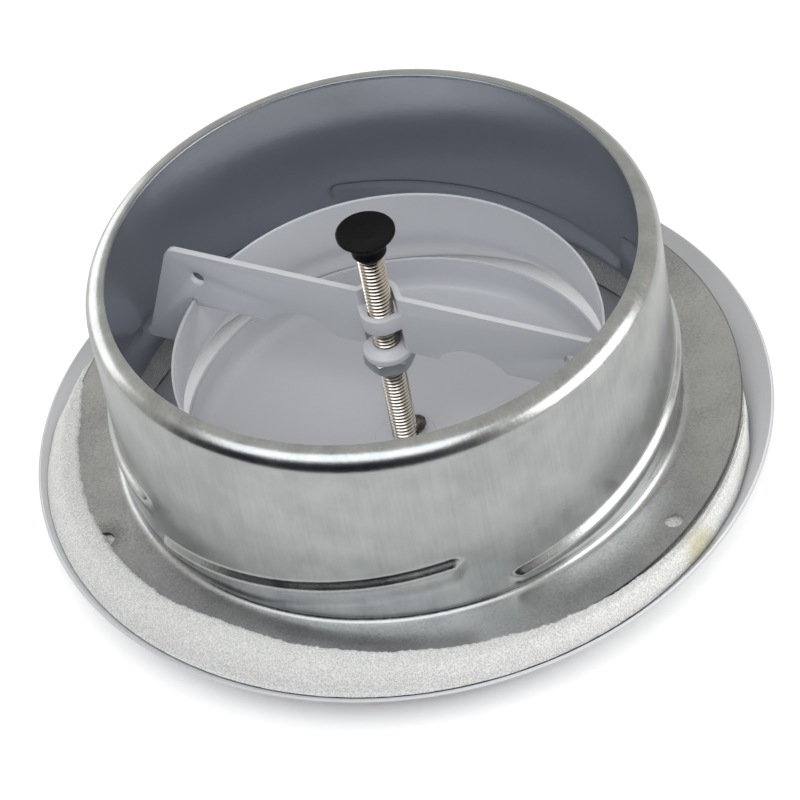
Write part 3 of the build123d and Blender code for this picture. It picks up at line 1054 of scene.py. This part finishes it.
def cellular_foam():
    """Polyurethane foam with pores 0.4 mm wide, patches of dust and a stain of old glue."""
    material, tree, shader, place = new_material("cellular_foam")
    pores = add(tree, "ShaderNodeTexVoronoi", {"Vector": place, "Scale": cells_of(0.385)})
    grain = add(tree, "ShaderNodeTexNoise", {"Vector": place, "Scale": cells_of(0.385), "Detail": 2.0})
    dirt = add(tree, "ShaderNodeTexNoise", {"Vector": place, "Scale": cells_of(16.7), "Detail": 3.0})
    both = add(tree, "ShaderNodeMix", {0: 0.5, 2: grain.outputs[0], 3: pores.outputs[0]})
    ramp = add(tree, "ShaderNodeValToRGB", {"Fac": both.outputs[0]})
    ramp.color_ramp.elements[0].position = 0.30
    ramp.color_ramp.elements[0].color = linear("#cbccc9")
    ramp.color_ramp.elements[1].position = 0.62
    ramp.color_ramp.elements[1].color = linear("#f2f3f1")
    shade = add(tree, "ShaderNodeMapRange", {"Value": dirt.outputs[0], "To Min": 0.95, "To Max": 1.03})
    tone = add(tree, "ShaderNodeHueSaturation", {"Color": ramp.outputs[0], "Value": shade.outputs[0]})
    off = add(tree, "ShaderNodeVectorMath", {0: place, 1: glue_place}, operation="DISTANCE")
    glue = add(
        tree,
        "ShaderNodeMapRange",
        {
            "Value": off.outputs["Value"],
            "From Min": 3.0 * MM,
            "From Max": 6.5 * MM,
            "To Min": 0.5,
            "To Max": 0.0,
        },
    )
    stained = add(
        tree,
        "ShaderNodeMix",
        {0: glue.outputs[0], 6: tone.outputs[0], 7: linear("#b5ab6c")},
        data_type="RGBA",
    )
    bump = add(tree, "ShaderNodeBump", {"Height": both.outputs[0], "Strength": 0.6, "Distance": 0.0004})
    tree.links.new(stained.outputs[2], shader.inputs["Base Color"])
    tree.links.new(bump.outputs[0], shader.inputs["Normal"])
    shader.inputs["Roughness"].default_value = 0.85
    return material


foam = make_foam()
finish_with(foam, cellular_foam())
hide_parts("foam_gasket")
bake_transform(foam)

# %% [markdown]
# ## Floor, light and background
# The photograph is a studio picture on white. The metal tells where the lamps stood: the lip shows a
# soft box above the camera, one low at the right and one low at the back left, and between them the
# dark of the room at the front. The floor is white for the camera and for reflections, and it still
# takes the valve's shadow. Under the valve the floor glows a little, a painted light, so the gap round
# the dish isn't black. The paper ends soon at the front, as the lip's dark line shows.

# %% Floor
paper_size = 0.60
paper_back = 0.10


def studio_white():
    material = bpy.data.materials.new("studio_floor")
    material.use_nodes = True
    tree = material.node_tree
    shader = tree.nodes["Principled BSDF"]
    shader.inputs["Base Color"].default_value = linear("#f3f3f2")
    shader.inputs["Roughness"].default_value = 0.9
    path = add(tree, "ShaderNodeLightPath")
    place = add(tree, "ShaderNodeTexCoord").outputs["Object"]
    away = add(tree, "ShaderNodeVectorMath", {0: place}, operation="LENGTH")
    open_floor = add(
        tree,
        "ShaderNodeMapRange",
        {"Value": away.outputs["Value"], "From Min": 0.070, "From Max": 0.086, "To Max": 0.4},
    )
    # Painted light: the floor under the valve glows, lighting the body's inside and the gap round the dish.
    glow_under_valve = add(
        tree,
        "ShaderNodeMapRange",
        {
            "Value": away.outputs["Value"],
            "From Min": 0.060,
            "From Max": 0.068,
            "To Min": 0.3,
            "To Max": 0.0,
        },
    )
    looked_at = add(
        tree,
        "ShaderNodeMath",
        {0: path.outputs["Is Glossy Ray"], 1: 0.1, 2: path.outputs["Is Camera Ray"]},
        operation="MULTIPLY_ADD",
    )
    strength = add(
        tree,
        "ShaderNodeMath",
        {0: looked_at.outputs[0], 1: open_floor.outputs[0]},
        operation="MULTIPLY",
    )
    total = add(
        tree,
        "ShaderNodeMath",
        {0: strength.outputs[0], 1: glow_under_valve.outputs[0]},
        operation="ADD",
    )
    glow = add(tree, "ShaderNodeEmission", {"Color": (1, 1, 1, 1), "Strength": total.outputs[0]})
    both = add(tree, "ShaderNodeAddShader", {0: shader.outputs[0], 1: glow.outputs[0]})
    tree.links.new(both.outputs[0], tree.nodes["Material Output"].inputs["Surface"])
    return material


bpy.ops.object.select_all(action="DESELECT")
bpy.ops.mesh.primitive_plane_add(size=paper_size, location=(0, paper_back, 0))
floor = bpy.context.object
bpy.ops.object.transform_apply(location=True)
floor.name = "studio_floor"
floor.data.materials.append(studio_white())
print(floor.name, "of", paper_size, "m")

# %% Lamps
lamp_distance = 1.0
lamps_aim = Vector((0, 0, 0.03))


def softbox(name, azimuth, elevation, width, height, brightness, colour_hex="#ffffff"):
    """A soft box at a direction from the valve; its brightness is that of its face."""
    rise = math.radians(elevation)
    place = (heading(azimuth) * math.cos(rise) + Vector((0, 0, math.sin(rise)))) * lamp_distance
    bpy.ops.object.light_add(type="AREA", location=place)
    lamp = bpy.context.object
    lamp.name = name
    lamp.data.shape = "RECTANGLE"
    lamp.data.size = width
    lamp.data.size_y = height
    lamp.data.energy = brightness * width * height * math.pi
    lamp.data.color = linear(colour_hex)[:3]
    lamp.rotation_euler = (lamps_aim - place).to_track_quat("-Z", "Y").to_euler()
    print(name, "at", [round(v, 2) for v in place])


softbox("lamp_over_camera", -118, 54.5, 1.4, 0.58, 1.7, "#f4f7ff")
softbox("lamp_right", -20, 18, 0.9, 0.7, 2.5)
softbox("lamp_back_left", 134, 12, 0.9, 0.6, 1.6)

# %% The room
def studio_room():
    """Warm grey all round, dark and bluish low at the front left, white where the camera sees it."""
    world = bpy.data.worlds.new("studio")
    world.use_nodes = True
    tree = world.node_tree
    direction = add(tree, "ShaderNodeTexCoord").outputs["Generated"]
    towards_dark = heading(-120)
    facing = add(tree, "ShaderNodeVectorMath", {0: direction, 1: towards_dark}, operation="DOT_PRODUCT")
    sideways = add(
        tree,
        "ShaderNodeMapRange",
        {"Value": facing.outputs["Value"], "From Min": 0.35, "From Max": 0.70},
        interpolation_type="SMOOTHSTEP",
    )
    height = add(tree, "ShaderNodeSeparateXYZ", {"Vector": direction})
    low = add(
        tree,
        "ShaderNodeMapRange",
        {"Value": height.outputs["Z"], "From Min": 0.40, "From Max": 0.60, "To Min": 1.0, "To Max": 0.0},
        interpolation_type="SMOOTHSTEP",
    )
    share = add(tree, "ShaderNodeMath", {0: sideways.outputs[0], 1: low.outputs[0]}, operation="MULTIPLY")
    colour = add(
        tree,
        "ShaderNodeMix",
        {0: share.outputs[0], 6: linear("#cbc9c4"), 7: linear("#1d2028")},
        data_type="RGBA",
    )
    path = add(tree, "ShaderNodeLightPath")
    room = add(tree, "ShaderNodeBackground", {"Color": colour.outputs[2], "Strength": 1.0})
    white = add(tree, "ShaderNodeBackground", {"Color": (1, 1, 1, 1), "Strength": 1.0})
    seen = add(
        tree,
        "ShaderNodeMixShader",
        {0: path.outputs["Is Camera Ray"], 1: room.outputs[0], 2: white.outputs[0]},
    )
    tree.links.new(seen.outputs[0], tree.nodes["World Output"].inputs["Surface"])
    bpy.context.scene.world = world


studio_room()
bpy.context.scene.view_settings.view_transform = "Standard"
print("room:", bpy.context.scene.world.name)
